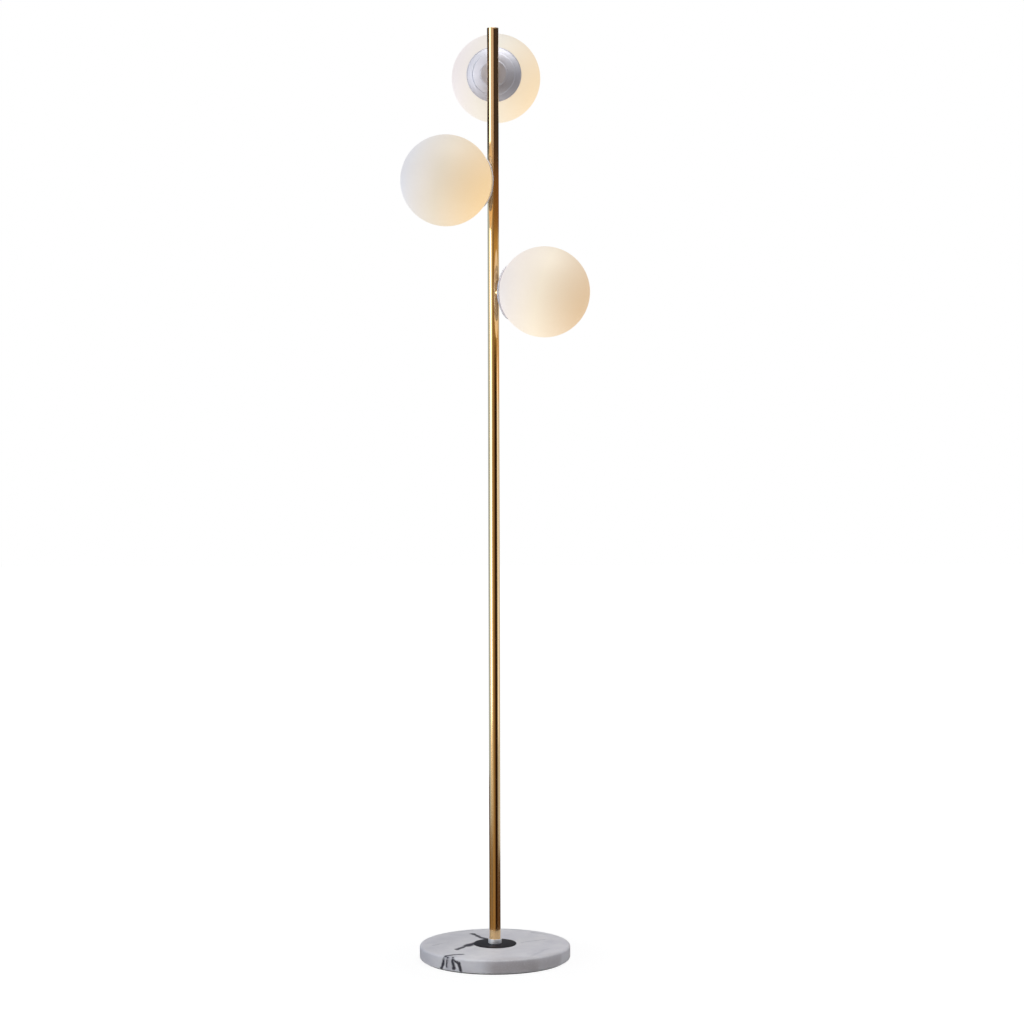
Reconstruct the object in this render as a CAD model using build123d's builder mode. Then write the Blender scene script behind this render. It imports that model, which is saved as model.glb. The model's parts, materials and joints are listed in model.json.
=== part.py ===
from build123d import *
import math
import os

# A floor lamp with three opal glass globes on a brass pole and a marble foot.
# Millimetres, +Z up. The origin is on the floor under the pole's axis, and -Y is the front.

# ---- base: felt pad, marble disc, foot plate and the bolt that clamps them to the pole
base_diameter = 254.0
base_thickness = 23.5
base_edge_radius = 4.0
pad_thickness = 2.0
pad_inset = 6.0
pocket_diameter = 84.0
pocket_depth = 14.0
cord_bore_diameter = 6.6
grommet_wall = 1.2
grommet_floor = 1.7
grommet_length = 12.0
plate_diameter = 72.0
plate_thickness = 1.5
plate_edge_chamfer = 0.4
collar_overhang = 1.8
collar_height = 8.0
collar_seat_depth = 1.5
collar_edge_chamfer = 0.6
stud_tail = 1.0
clamp_washer_diameter = 44.0
clamp_washer_thickness = 2.0
spring_washer_width = 3.8
spring_washer_thickness = 1.5
spring_washer_gap = 2.5
clamp_nut_wall = 2.0
clamp_nut_height = 4.0

# ---- pole: three lengths of tube screwed end to end
pole_diameter = 19.0
pole_wall = 1.2
pole_above_top_head = 73.0
low_head_rise = 70.5
cap_thickness = 2.0
cap_spigot_length = 8.0
cap_edge_chamfer = 0.5
foot_insert_wall = 1.75
foot_insert_length = 20.0
foot_insert_recess = 1.0
seam_socket_wall = 2.25
seam_stud_wall = 1.2
seam_socket_length = 18.0
seam_plug_length = 15.0
seam_stud_length = 14.0

# ---- wiring held inside the pole
lead_diameter = 2.4
lead_bend_slack = 1.0
splice_clearance = 1.9
splice_gap = 1.0
splice_length = 16.0
splice_end_radius = 1.6
splice_rise = 18.0

# ---- lamp heads
low_head_height = 1122.0
head_spacing = 182.5
low_head_turn = 330.6
middle_head_turn = 217.0
top_head_turn = 86.8
stem_gap = 8.9
stem_thread_diameter = 10.0
stem_bore_diameter = 7.0
spacer_wall = 0.95
arm_insert_height = 24.0

# ---- glass globe
globe_diameter = 150.0
globe_wall = 3.0
neck_wall = 3.0
neck_depth = 12.0
mouth_lip_radius = 1.2

# ---- spun holder cup, which hugs the back of the globe
cup_wall = 1.2
cup_glass_gap = 1.6
cup_step = 1.0
cup_step_width = 1.2
cup_step_radius = 34.5
cup_rim_radius = 45.0
cup_bead_diameter = 2.2
hub_height = 2.9
hub_corner_radius = 1.4
hub_clearance = 1.0

# ---- lampholder inside the globe
sleeve_wall = 1.5
sleeve_floor_wall = 1.5
flange_margin = 0.2
thread_clearance = 0.4
gasket_width = 4.3
gasket_bore_clearance = 0.9
glass_seat_gap = 0.3
holder_clearance = 1.3
bracket_thickness = 1.0
bracket_leg_width = 9.0
stem_washer_diameter = 17.0
stem_washer_thickness = 0.8
stem_nut_wall = 2.0
stem_nut_height = 4.0
stem_tail = 1.0
socket_width = 18.0
socket_depth = 13.0
socket_length = 20.0
socket_back_gap = 2.1
socket_stand_out = 3.0
socket_corner_radius = 5.0
pin_spacing = 9.0
pin_slot_width = 2.2
pin_slot_height = 4.0
pin_slot_depth = 11.0
contact_thickness = 0.4
contact_width = 2.8
contact_setback = 2.0
contact_pin_gap = 0.2
screw_diameter = 2.6
screw_reach = 3.0
screw_head_diameter = 4.6
screw_head_height = 1.5
screw_rise = 6.0
screw_to_leg_end = 4.0

# ---- pin-base bulb
bulb_base_diameter = 16.0
bulb_base_length = 13.0
bulb_base_chamfer = 0.5
bulb_cover_diameter = 15.0
bulb_cover_length = 34.0
bulb_seat_gap = 0.2
pin_thickness = 0.8
pin_width = 2.6
pin_length = 7.8

# ---- clearances between pieces
slip_gap = 0.2
fit_gap = 0.05

# ---- radii inside the pole
pole_radius = pole_diameter / 2
tube_bore_radius = pole_radius - pole_wall
insert_radius = tube_bore_radius - fit_gap
stud_radius = insert_radius - foot_insert_wall
stud_hole_radius = stud_radius + slip_gap
seam_thread_radius = insert_radius - seam_socket_wall
lead_bore_radius = seam_thread_radius - seam_stud_wall
lead_offset = lead_bore_radius - lead_diameter / 2 - slip_gap
lead_bend_radius = stem_bore_diameter / 2 + lead_bend_slack
splice_radius = (tube_bore_radius - splice_clearance) / 2

# ---- heights, from the floor up
pocket_ceiling = pad_thickness + pocket_depth
clamp_washer_foot = pocket_ceiling - clamp_washer_thickness
spring_washer_foot = clamp_washer_foot - spring_washer_thickness
clamp_nut_foot = spring_washer_foot - clamp_nut_height
stud_foot = clamp_nut_foot - stud_tail
marble_top = pad_thickness + base_thickness
plate_top = marble_top + plate_thickness
collar_top = plate_top + collar_height
tube_foot = collar_top - collar_seat_depth
foot_insert_foot = tube_foot + foot_insert_recess
foot_insert_head = foot_insert_foot + foot_insert_length
splice_foot = foot_insert_head + splice_rise
splice_top = splice_foot + splice_length
upper_seam = low_head_height - low_head_rise
lower_seam = (tube_foot + upper_seam) / 2
middle_head_height = low_head_height + head_spacing
top_head_height = middle_head_height + head_spacing
pole_top = top_head_height + pole_above_top_head
tube_head = pole_top - cap_thickness

# ---- the lampholder sets the width of the sleeve, and the sleeve sets the globe's mouth
screw_seat = socket_width / 2 + fit_gap + bracket_thickness
holder_reach = math.hypot(screw_seat + screw_head_height, screw_head_diameter / 2)
sleeve_bore_radius = holder_reach + holder_clearance
sleeve_radius = sleeve_bore_radius + sleeve_wall
mouth_radius = sleeve_radius + thread_clearance
neck_radius = mouth_radius + neck_wall
gasket_bore_radius = mouth_radius + gasket_bore_clearance
gasket_radius = gasket_bore_radius + gasket_width
flange_radius = gasket_radius + flange_margin
hub_radius = flange_radius + hub_clearance + cup_wall / 2

# ---- radii about the globe's centre
globe_radius = globe_diameter / 2
glass_inner_radius = globe_radius - globe_wall
band_mid_radius = globe_radius + cup_glass_gap + cup_wall / 2
dome_mid_radius = band_mid_radius + cup_step

# ---- places along a head's arm, counted outwards from the pole's axis
stem_radius = stem_thread_diameter / 2
stem_root = lead_bore_radius + slip_gap
cup_back = pole_radius + stem_gap
hub_mid = cup_back + cup_wall / 2
cup_floor = cup_back + cup_wall
flange_top = cup_floor + sleeve_floor_wall
bracket_top = flange_top + bracket_thickness
stem_washer_top = bracket_top + stem_washer_thickness
stem_nut_top = stem_washer_top + stem_nut_height
stem_tip = stem_nut_top + stem_tail
socket_back = stem_tip + socket_back_gap
screw_place = socket_back + screw_rise
leg_end = screw_place + screw_to_leg_end
socket_front = socket_back + socket_length
sleeve_end = socket_front - socket_stand_out
bulb_foot = socket_front + bulb_seat_gap
bulb_waist = bulb_foot + bulb_base_length
globe_centre = hub_mid + hub_height + math.sqrt(dome_mid_radius**2 - hub_radius**2)
mouth_lip = mouth_radius + mouth_lip_radius
mouth_plane = globe_centre - math.sqrt(globe_radius**2 - mouth_lip**2)
neck_end = mouth_plane + neck_depth
gasket_thickness = mouth_plane - flange_top - glass_seat_gap


def sphere_point(radius, off_axis):
    """Point of a globe-centred sphere on its pole side, as (off_axis, along the arm)."""
    return (off_axis, globe_centre - math.sqrt(radius**2 - off_axis**2))


def sphere_arc(radius, from_off_axis, to_off_axis):
    """Arc of a globe-centred sphere on its pole side."""
    between = (from_off_axis + to_off_axis) / 2
    return ThreePointArc(
        sphere_point(radius, from_off_axis),
        sphere_point(radius, between),
        sphere_point(radius, to_off_axis),
    )


class Head:
    """Where one lamp head leaves the pole, with the planes that its pieces are drawn on."""

    def __init__(self, name, height, turn):
        outward = Vector(1, 0, 0).rotate(Axis.Z, turn)
        sideways = Vector(0, 1, 0).rotate(Axis.Z, turn)
        foot = Vector(0, 0, height)
        self.name = name
        self.height = height
        self.outward = outward
        self.foot = foot
        self.arm = Axis(foot, outward)
        # square: seen along the arm, X sideways and Y up, with its normal outwards
        self.square = Plane(origin=foot, x_dir=sideways, z_dir=outward)
        # side: seen from beside the arm, X away from its axis and Y outwards along it
        self.side = Plane(origin=foot, x_dir=(0, 0, 1), z_dir=sideways)


heads = [
    Head("low", low_head_height, low_head_turn),
    Head("middle", middle_head_height, middle_head_turn),
    Head("top", top_head_height, top_head_turn),
]

os.makedirs("parts", exist_ok=True)

# ================================================================ base

with BuildPart() as felt_pad:
    with BuildSketch(Plane.XY):
        Circle(base_diameter / 2 - pad_inset)
    extrude(amount=pad_thickness)
felt_pad.part.label = "felt_pad"
export_step(felt_pad.part, "parts/felt_pad.step")

# The cord slot is milled from the nut pocket to the rear rim, and has a round roof.
slot_plane = Plane(origin=(0, 0, pad_thickness), x_dir=(-1, 0, 0), z_dir=(0, 1, 0))
slot_width = cord_bore_diameter + 2 * grommet_wall
slot_axis_height = cord_bore_diameter / 2 + grommet_floor

with BuildPart() as marble_base:
    with BuildSketch(Plane.XY.offset(pad_thickness)):
        Circle(base_diameter / 2)
    extrude(amount=base_thickness)
    fillet(marble_base.edges().filter_by(GeomType.CIRCLE), radius=base_edge_radius)
    with BuildSketch(Plane.XY.offset(pad_thickness)):
        Circle(pocket_diameter / 2)
    extrude(amount=pocket_depth, mode=Mode.SUBTRACT)
    with BuildSketch(Plane.XY.offset(pad_thickness)):
        Circle(stud_hole_radius)
    extrude(amount=base_thickness, mode=Mode.SUBTRACT)
    with BuildSketch(slot_plane):
        Rectangle(slot_width, slot_axis_height, align=(Align.CENTER, Align.MIN))
        with Locations((0, slot_axis_height)):
            Circle(slot_width / 2)
    extrude(amount=base_diameter / 2, mode=Mode.SUBTRACT)
marble_base.part.label = "marble_base"
export_step(marble_base.part, "parts/marble_base.step")

grommet_end = base_diameter / 2 - base_edge_radius

with BuildPart() as cord_grommet:
    with BuildSketch(slot_plane.offset(grommet_end - grommet_length)):
        Rectangle(
            slot_width - 2 * fit_gap, slot_axis_height, align=(Align.CENTER, Align.MIN)
        )
        with Locations((0, slot_axis_height)):
            Circle(slot_width / 2 - fit_gap)
            Circle(cord_bore_diameter / 2, mode=Mode.SUBTRACT)
    extrude(amount=grommet_length)
cord_grommet.part.label = "cord_grommet"
export_step(cord_grommet.part, "parts/cord_grommet.step")

with BuildPart() as foot_plate:
    with BuildSketch(Plane.XY.offset(marble_top)):
        Circle(plate_diameter / 2)
    extrude(amount=plate_thickness)
    chamfer(foot_plate.edges().group_by(Axis.Z)[-1], length=plate_edge_chamfer)
    with BuildSketch(Plane.XY.offset(marble_top)):
        Circle(stud_hole_radius)
    extrude(amount=plate_thickness, mode=Mode.SUBTRACT)
foot_plate.part.label = "foot_plate"
export_step(foot_plate.part, "parts/foot_plate.step")

# The tube's end drops into a shallow seat in the top of the collar.
with BuildPart() as foot_collar:
    with BuildSketch(Plane.XY.offset(plate_top)):
        Circle(pole_radius + collar_overhang)
    extrude(amount=collar_height)
    chamfer(foot_collar.edges().filter_by(GeomType.CIRCLE), length=collar_edge_chamfer)
    with Locations((0, 0, collar_top)):
        CounterBoreHole(stud_hole_radius, pole_radius + fit_gap, collar_seat_depth)
foot_collar.part.label = "foot_collar"
export_step(foot_collar.part, "parts/foot_collar.step")

with BuildPart() as base_stud:
    with BuildSketch(Plane.XY.offset(stud_foot)):
        Circle(stud_radius)
        Circle(lead_bore_radius, mode=Mode.SUBTRACT)
    extrude(amount=foot_insert_head - stud_foot)
base_stud.part.label = "base_stud"
export_step(base_stud.part, "parts/base_stud.step")

with BuildPart() as clamp_washer:
    with BuildSketch(Plane.XY.offset(clamp_washer_foot)):
        Circle(clamp_washer_diameter / 2)
        Circle(stud_hole_radius, mode=Mode.SUBTRACT)
    extrude(amount=clamp_washer_thickness)
clamp_washer.part.label = "clamp_washer"
export_step(clamp_washer.part, "parts/clamp_washer.step")

with BuildPart() as spring_washer:
    with BuildSketch(Plane.XY.offset(spring_washer_foot)):
        Circle(stud_hole_radius + spring_washer_width)
        Circle(stud_hole_radius, mode=Mode.SUBTRACT)
        with Locations((stud_hole_radius + spring_washer_width / 2, 0)):
            Rectangle(2 * spring_washer_width, spring_washer_gap, mode=Mode.SUBTRACT)
    extrude(amount=spring_washer_thickness)
spring_washer.part.label = "spring_washer"
export_step(spring_washer.part, "parts/spring_washer.step")

with BuildPart() as clamp_nut:
    with BuildSketch(Plane.XY.offset(clamp_nut_foot)):
        RegularPolygon(stud_radius + clamp_nut_wall, 6, major_radius=False)
        Circle(stud_radius + fit_gap, mode=Mode.SUBTRACT)
    extrude(amount=clamp_nut_height)
clamp_nut.part.label = "clamp_nut"
export_step(clamp_nut.part, "parts/clamp_nut.step")

# ================================================================ pole

with BuildPart() as lower_tube:
    with BuildSketch(Plane.XY.offset(tube_foot)):
        Circle(pole_radius)
        Circle(tube_bore_radius, mode=Mode.SUBTRACT)
    extrude(amount=lower_seam - tube_foot)
lower_tube.part.label = "lower_tube"
export_step(lower_tube.part, "parts/lower_tube.step")

with BuildPart() as middle_tube:
    with BuildSketch(Plane.XY.offset(lower_seam)):
        Circle(pole_radius)
        Circle(tube_bore_radius, mode=Mode.SUBTRACT)
    extrude(amount=upper_seam - lower_seam)
middle_tube.part.label = "middle_tube"
export_step(middle_tube.part, "parts/middle_tube.step")

# The upper tube is drilled once for each stem, on the stem's own side.
with BuildPart() as upper_tube:
    with BuildSketch(Plane.XY.offset(upper_seam)):
        Circle(pole_radius)
        Circle(tube_bore_radius, mode=Mode.SUBTRACT)
    extrude(amount=tube_head - upper_seam)
    for head in heads:
        with BuildSketch(head.square):
            Circle(stem_radius + fit_gap)
        extrude(amount=pole_diameter, mode=Mode.SUBTRACT)
upper_tube.part.label = "upper_tube"
export_step(upper_tube.part, "parts/upper_tube.step")

with BuildPart() as pole_cap:
    with BuildSketch(Plane.XY.offset(tube_head)):
        Circle(pole_radius)
    extrude(amount=cap_thickness)
    chamfer(pole_cap.edges().group_by(Axis.Z)[-1], length=cap_edge_chamfer)
    with BuildSketch(Plane.XY.offset(tube_head)):
        Circle(insert_radius)
    extrude(amount=-cap_spigot_length)
pole_cap.part.label = "pole_cap"
export_step(pole_cap.part, "parts/pole_cap.step")

with BuildPart() as foot_insert:
    with BuildSketch(Plane.XY.offset(foot_insert_foot)):
        Circle(insert_radius)
        Circle(stud_radius + fit_gap, mode=Mode.SUBTRACT)
    extrude(amount=foot_insert_length)
foot_insert.part.label = "foot_insert"
export_step(foot_insert.part, "parts/foot_insert.step")

# At each seam a threaded socket in the tube below takes a plug with a stud from the tube above.
for seam_name, seam_height in (("lower", lower_seam), ("upper", upper_seam)):
    with BuildPart() as seam_socket:
        with BuildSketch(Plane.XY.offset(seam_height)):
            Circle(insert_radius)
            Circle(seam_thread_radius + fit_gap, mode=Mode.SUBTRACT)
        extrude(amount=-seam_socket_length)
    seam_socket.part.label = f"{seam_name}_seam_socket"
    export_step(seam_socket.part, f"parts/{seam_name}_seam_socket.step")

    with BuildPart() as seam_plug:
        with BuildSketch(Plane.XY.offset(seam_height)):
            Circle(insert_radius)
            Circle(lead_bore_radius, mode=Mode.SUBTRACT)
        extrude(amount=seam_plug_length)
        with BuildSketch(Plane.XY.offset(seam_height)):
            Circle(seam_thread_radius)
            Circle(lead_bore_radius, mode=Mode.SUBTRACT)
        extrude(amount=-seam_stud_length)
    seam_plug.part.label = f"{seam_name}_seam_plug"
    export_step(seam_plug.part, f"parts/{seam_name}_seam_plug.step")

# Cross-drilled blocks, brazed inside the upper tube, hold the stems' threads.
with BuildPart() as arm_inserts:
    for head in heads:
        with BuildSketch(Plane.XY.offset(head.height - arm_insert_height / 2)):
            Circle(insert_radius)
            Circle(lead_bore_radius, mode=Mode.SUBTRACT)
        extrude(amount=arm_insert_height)
        with BuildSketch(head.square):
            Circle(stem_radius + fit_gap)
        extrude(amount=pole_radius, mode=Mode.SUBTRACT)
arm_inserts.part.label = "arm_inserts"
export_step(arm_inserts.part, "parts/arm_inserts.step")

# ================================================================ wiring

# Each lead rises on its own head's side of the pole and turns into the stem to the socket.
for head in heads:
    with BuildPart() as lead:
        with BuildLine(head.side):
            FilletPolyline(
                (splice_top - head.height, lead_offset),
                (0, lead_offset),
                (0, socket_back),
                radius=lead_bend_radius,
            )
        with BuildSketch(Plane(head.outward * lead_offset + Vector(0, 0, splice_top))):
            Circle(lead_diameter / 2)
        sweep()
    lead.part.label = f"lead_{head.name}"
    export_step(lead.part, f"parts/lead_{head.name}.step")

# Two closed-end crimp caps join the leads just above the foot insert.
with BuildPart() as splice_caps:
    with BuildSketch(Plane.XY.offset(splice_foot)):
        for side in (-1, 1):
            with Locations(heads[-1].outward * side * (splice_radius + splice_gap / 2)):
                Circle(splice_radius)
    extrude(amount=splice_length)
    fillet(splice_caps.edges().group_by(Axis.Z)[0], radius=splice_end_radius)
splice_caps.part.label = "splice_caps"
export_step(splice_caps.part, "parts/splice_caps.step")

# ================================================================ lamp heads

for head in heads:
    # Spacer between pole and cup, with a saddle end that fits the round of the tube.
    with BuildPart() as stem_spacer:
        with BuildSketch(head.square):
            Circle(stem_radius + fit_gap + spacer_wall)
            Circle(stem_radius + fit_gap, mode=Mode.SUBTRACT)
        extrude(amount=cup_back)
        with BuildSketch(Plane.XY.offset(head.height)):
            Circle(pole_radius + fit_gap)
        extrude(amount=stem_thread_diameter, both=True, mode=Mode.SUBTRACT)
    stem_spacer.part.label = f"stem_spacer_{head.name}"
    export_step(stem_spacer.part, f"parts/stem_spacer_{head.name}.step")

    # Spun from sheet of one thickness: flat hub, dome, step ring, band and rolled rim bead.
    with BuildPart() as holder_cup:
        with BuildSketch(head.side):
            with BuildLine():
                FilletPolyline(
                    (stem_radius + slip_gap + cup_wall / 2, hub_mid),
                    (hub_radius, hub_mid),
                    sphere_point(dome_mid_radius, hub_radius),
                    radius=hub_corner_radius,
                )
                sphere_arc(dome_mid_radius, hub_radius, cup_step_radius)
                Line(
                    sphere_point(dome_mid_radius, cup_step_radius),
                    sphere_point(band_mid_radius, cup_step_radius + cup_step_width),
                )
                sphere_arc(band_mid_radius, cup_step_radius + cup_step_width, cup_rim_radius)
                offset(amount=cup_wall / 2, side=Side.BOTH)
            make_face()
            with Locations(sphere_point(band_mid_radius, cup_rim_radius)):
                Circle(cup_bead_diameter / 2)
        revolve(axis=head.arm)
    holder_cup.part.label = f"holder_cup_{head.name}"
    export_step(holder_cup.part, f"parts/holder_cup_{head.name}.step")

    # Threaded sleeve that the glass screws on to, with the flange that seats the gasket.
    with BuildPart() as threaded_sleeve:
        with BuildSketch(head.side):
            with BuildLine():
                Polyline(
                    (stem_radius + fit_gap, cup_floor),
                    (flange_radius, cup_floor),
                    (flange_radius, flange_top),
                    (sleeve_radius, flange_top),
                    (sleeve_radius, sleeve_end),
                    (sleeve_bore_radius, sleeve_end),
                    (sleeve_bore_radius, flange_top),
                    (stem_radius + fit_gap, flange_top),
                    close=True,
                )
            make_face()
        revolve(axis=head.arm)
    threaded_sleeve.part.label = f"threaded_sleeve_{head.name}"
    export_step(threaded_sleeve.part, f"parts/threaded_sleeve_{head.name}.step")

    # U-shaped bracket: a disc under the stem nut and two legs that carry the socket.
    with BuildPart() as socket_bracket:
        with BuildSketch(head.square.offset(flange_top)):
            Circle(holder_reach)
            Circle(stem_radius + fit_gap, mode=Mode.SUBTRACT)
        extrude(amount=bracket_thickness)
        with BuildSketch(head.square.offset(flange_top)):
            with GridLocations(2 * screw_seat - bracket_thickness, 0, 2, 1):
                Rectangle(bracket_thickness, bracket_leg_width)
        extrude(amount=leg_end - flange_top)
        with BuildSketch(head.side):
            with Locations((0, screw_place)):
                Circle(screw_diameter / 2 + fit_gap)
        extrude(amount=holder_reach, both=True, mode=Mode.SUBTRACT)
    socket_bracket.part.label = f"socket_bracket_{head.name}"
    export_step(socket_bracket.part, f"parts/socket_bracket_{head.name}.step")

    # Ceramic socket with two pin slots in its face and a screw hole in each side.
    with BuildPart() as pin_socket:
        with BuildSketch(head.square.offset(socket_back)):
            RectangleRounded(socket_width, socket_depth, socket_corner_radius)
        extrude(amount=socket_length)
        with BuildSketch(head.square.offset(socket_front)):
            with GridLocations(pin_spacing, 0, 2, 1):
                Rectangle(pin_slot_width, pin_slot_height)
        extrude(amount=-pin_slot_depth, mode=Mode.SUBTRACT)
        for side in (-1, 1):
            with BuildSketch(head.side.offset(side * socket_width / 2)):
                with Locations((0, screw_place)):
                    Circle(screw_diameter / 2 + fit_gap)
            extrude(amount=-side * screw_reach, mode=Mode.SUBTRACT)
    pin_socket.part.label = f"pin_socket_{head.name}"
    export_step(pin_socket.part, f"parts/pin_socket_{head.name}.step")

    # Flat silicone ring between the flange and the mouth of the glass.
    with BuildPart() as gasket:
        with BuildSketch(head.square.offset(flange_top)):
            Circle(gasket_radius)
            Circle(gasket_bore_radius, mode=Mode.SUBTRACT)
        extrude(amount=gasket_thickness)
    gasket.part.label = f"gasket_{head.name}"
    export_step(gasket.part, f"parts/gasket_{head.name}.step")

    # Blown globe: two spheres, and a neck turned inwards that carries the thread.
    with BuildPart() as glass_globe:
        with BuildSketch(head.side):
            with BuildLine():
                sphere_arc(globe_radius, mouth_radius, globe_radius)
                sphere_arc(glass_inner_radius, neck_radius, glass_inner_radius)
                ThreePointArc(
                    (globe_radius, globe_centre),
                    (globe_radius / math.sqrt(2), globe_centre + globe_radius / math.sqrt(2)),
                    (0, globe_centre + globe_radius),
                )
                ThreePointArc(
                    (glass_inner_radius, globe_centre),
                    (
                        glass_inner_radius / math.sqrt(2),
                        globe_centre + glass_inner_radius / math.sqrt(2),
                    ),
                    (0, globe_centre + glass_inner_radius),
                )
                Line((0, globe_centre + glass_inner_radius), (0, globe_centre + globe_radius))
                Polyline(
                    sphere_point(globe_radius, mouth_radius),
                    (mouth_radius, neck_end),
                    (neck_radius, neck_end),
                    sphere_point(glass_inner_radius, neck_radius),
                )
            make_face()
            neck_corners = vertices().group_by(Axis.X)[1] + vertices().group_by(Axis.X)[2]
            fillet(neck_corners, radius=mouth_lip_radius)
        revolve(axis=head.arm)
    glass_globe.part.label = f"glass_globe_{head.name}"
    export_step(glass_globe.part, f"parts/glass_globe_{head.name}.step")

    # Bulb: white base, frosted cover with a round end, and two flat pins in the socket.
    with BuildPart() as bulb_base:
        with BuildSketch(head.square.offset(bulb_foot)):
            Circle(bulb_base_diameter / 2)
        extrude(amount=bulb_base_length)
        chamfer(bulb_base.edges().sort_by(head.arm)[-1], length=bulb_base_chamfer)
    bulb_base.part.label = f"bulb_base_{head.name}"
    export_step(bulb_base.part, f"parts/bulb_base_{head.name}.step")

    with BuildPart() as bulb_cover:
        with BuildSketch(head.square.offset(bulb_waist)):
            Circle(bulb_cover_diameter / 2)
        extrude(amount=bulb_cover_length)
        fillet(bulb_cover.edges().sort_by(head.arm)[-1], radius=bulb_cover_diameter / 2 - slip_gap)
    bulb_cover.part.label = f"bulb_cover_{head.name}"
    export_step(bulb_cover.part, f"parts/bulb_cover_{head.name}.step")

    with BuildPart() as bulb_pins:
        with BuildSketch(head.square.offset(bulb_foot)):
            with GridLocations(pin_spacing, 0, 2, 1):
                Rectangle(pin_thickness, pin_width)
        extrude(amount=-pin_length)
    bulb_pins.part.label = f"bulb_pins_{head.name}"
    export_step(bulb_pins.part, f"parts/bulb_pins_{head.name}.step")

# ================================================================ fasteners and contacts, by kind

with BuildPart() as stem_nipples:
    for head in heads:
        with BuildSketch(head.square.offset(stem_root)):
            Circle(stem_radius)
            Circle(stem_bore_diameter / 2, mode=Mode.SUBTRACT)
        extrude(amount=stem_tip - stem_root)
stem_nipples.part.label = "stem_nipples"
export_step(stem_nipples.part, "parts/stem_nipples.step")

with BuildPart() as stem_washers:
    for head in heads:
        with BuildSketch(head.square.offset(bracket_top)):
            Circle(stem_washer_diameter / 2)
            Circle(stem_radius + fit_gap, mode=Mode.SUBTRACT)
        extrude(amount=stem_washer_thickness)
stem_washers.part.label = "stem_washers"
export_step(stem_washers.part, "parts/stem_washers.step")

with BuildPart() as stem_nuts:
    for head in heads:
        with BuildSketch(head.square.offset(stem_washer_top)):
            RegularPolygon(stem_radius + stem_nut_wall, 6, major_radius=False)
            Circle(stem_radius + fit_gap, mode=Mode.SUBTRACT)
        extrude(amount=stem_nut_height)
stem_nuts.part.label = "stem_nuts"
export_step(stem_nuts.part, "parts/stem_nuts.step")

with BuildPart() as socket_screws:
    for head in heads:
        for side in (-1, 1):
            with BuildSketch(head.side.offset(side * screw_seat)):
                with Locations((0, screw_place)):
                    Circle(screw_head_diameter / 2)
            extrude(amount=side * screw_head_height)
            with BuildSketch(head.side.offset(side * screw_seat)):
                with Locations((0, screw_place)):
                    Circle(screw_diameter / 2)
            extrude(amount=-side * (bracket_thickness + fit_gap + screw_reach))
socket_screws.part.label = "socket_screws"
export_step(socket_screws.part, "parts/socket_screws.step")

# Spring strips, one on the outer side of each pin.
contact_place = pin_spacing / 2 + pin_thickness / 2 + contact_pin_gap + contact_thickness / 2

with BuildPart() as socket_contacts:
    for head in heads:
        with BuildSketch(head.square.offset(socket_front - pin_slot_depth)):
            with GridLocations(2 * contact_place, 0, 2, 1):
                Rectangle(contact_thickness, contact_width)
        extrude(amount=pin_slot_depth - contact_setback)
socket_contacts.part.label = "socket_contacts"
export_step(socket_contacts.part, "parts/socket_contacts.step")
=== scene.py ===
import json
import math
from collections import namedtuple

import bmesh
import bpy
from mathutils import Matrix, Vector


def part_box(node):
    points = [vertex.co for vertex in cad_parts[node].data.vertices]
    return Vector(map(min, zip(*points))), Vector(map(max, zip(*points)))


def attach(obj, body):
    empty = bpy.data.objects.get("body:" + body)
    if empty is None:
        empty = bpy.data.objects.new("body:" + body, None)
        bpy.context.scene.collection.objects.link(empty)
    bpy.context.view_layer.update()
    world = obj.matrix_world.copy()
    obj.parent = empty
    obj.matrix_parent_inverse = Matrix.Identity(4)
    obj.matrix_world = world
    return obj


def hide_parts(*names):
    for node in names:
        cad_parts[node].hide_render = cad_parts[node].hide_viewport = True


# A floor lamp: opal glass globes in spun cups, stepped round a brass pole on a marble foot.
# Metres, +Z up, the origin on the floor under the pole's axis, -Y towards the camera.

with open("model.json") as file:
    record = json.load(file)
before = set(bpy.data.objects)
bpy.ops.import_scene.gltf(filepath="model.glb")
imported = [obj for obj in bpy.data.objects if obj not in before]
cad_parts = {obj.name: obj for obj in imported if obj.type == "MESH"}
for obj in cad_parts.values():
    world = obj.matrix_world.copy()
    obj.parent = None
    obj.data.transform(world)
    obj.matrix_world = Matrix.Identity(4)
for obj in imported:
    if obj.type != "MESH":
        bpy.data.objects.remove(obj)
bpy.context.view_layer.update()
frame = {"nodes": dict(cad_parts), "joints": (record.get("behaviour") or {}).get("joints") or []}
mm = 0.001
up = Vector((0, 0, 1))

# ================================================================ studio
# The lamp is seen from 4.5 m in front of it through a long lens, from a little above its
# middle and tipped slightly down, in a white studio with soft daylight from the left.


def new_object(name, data):
    """An object in the scene that shows a camera, a light or a mesh."""
    thing = bpy.data.objects.new(name, data)
    bpy.context.scene.collection.objects.link(thing)
    return thing


camera_place = Vector((0.0, -4.5, 0.998))
camera_yaw = math.radians(0.385)
camera_pitch = math.radians(-3.08)
camera_roll = math.radians(-0.126)

camera_data = bpy.data.cameras.new("camera")
camera_data.sensor_width = 36.0
camera_data.lens = 94.6
camera = new_object("camera", camera_data)
camera.matrix_world = (
    Matrix.Translation(camera_place)
    @ Matrix.Rotation(-camera_yaw, 4, "Z")
    @ Matrix.Rotation(math.radians(90) + camera_pitch, 4, "X")
    @ Matrix.Rotation(camera_roll, 4, "Z")
)
bpy.context.scene.camera = camera
bpy.context.scene.view_settings.view_transform = "Standard"


def hex_colour(code):
    """sRGB hex to the linear colour that a shader takes."""
    channels = [int(code[i:i + 2], 16) / 255 for i in (1, 3, 5)]
    linear = [c / 12.92 if c <= 0.04045 else ((c + 0.055) / 1.055) ** 2.4 for c in channels]
    return (*linear, 1.0)


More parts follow.
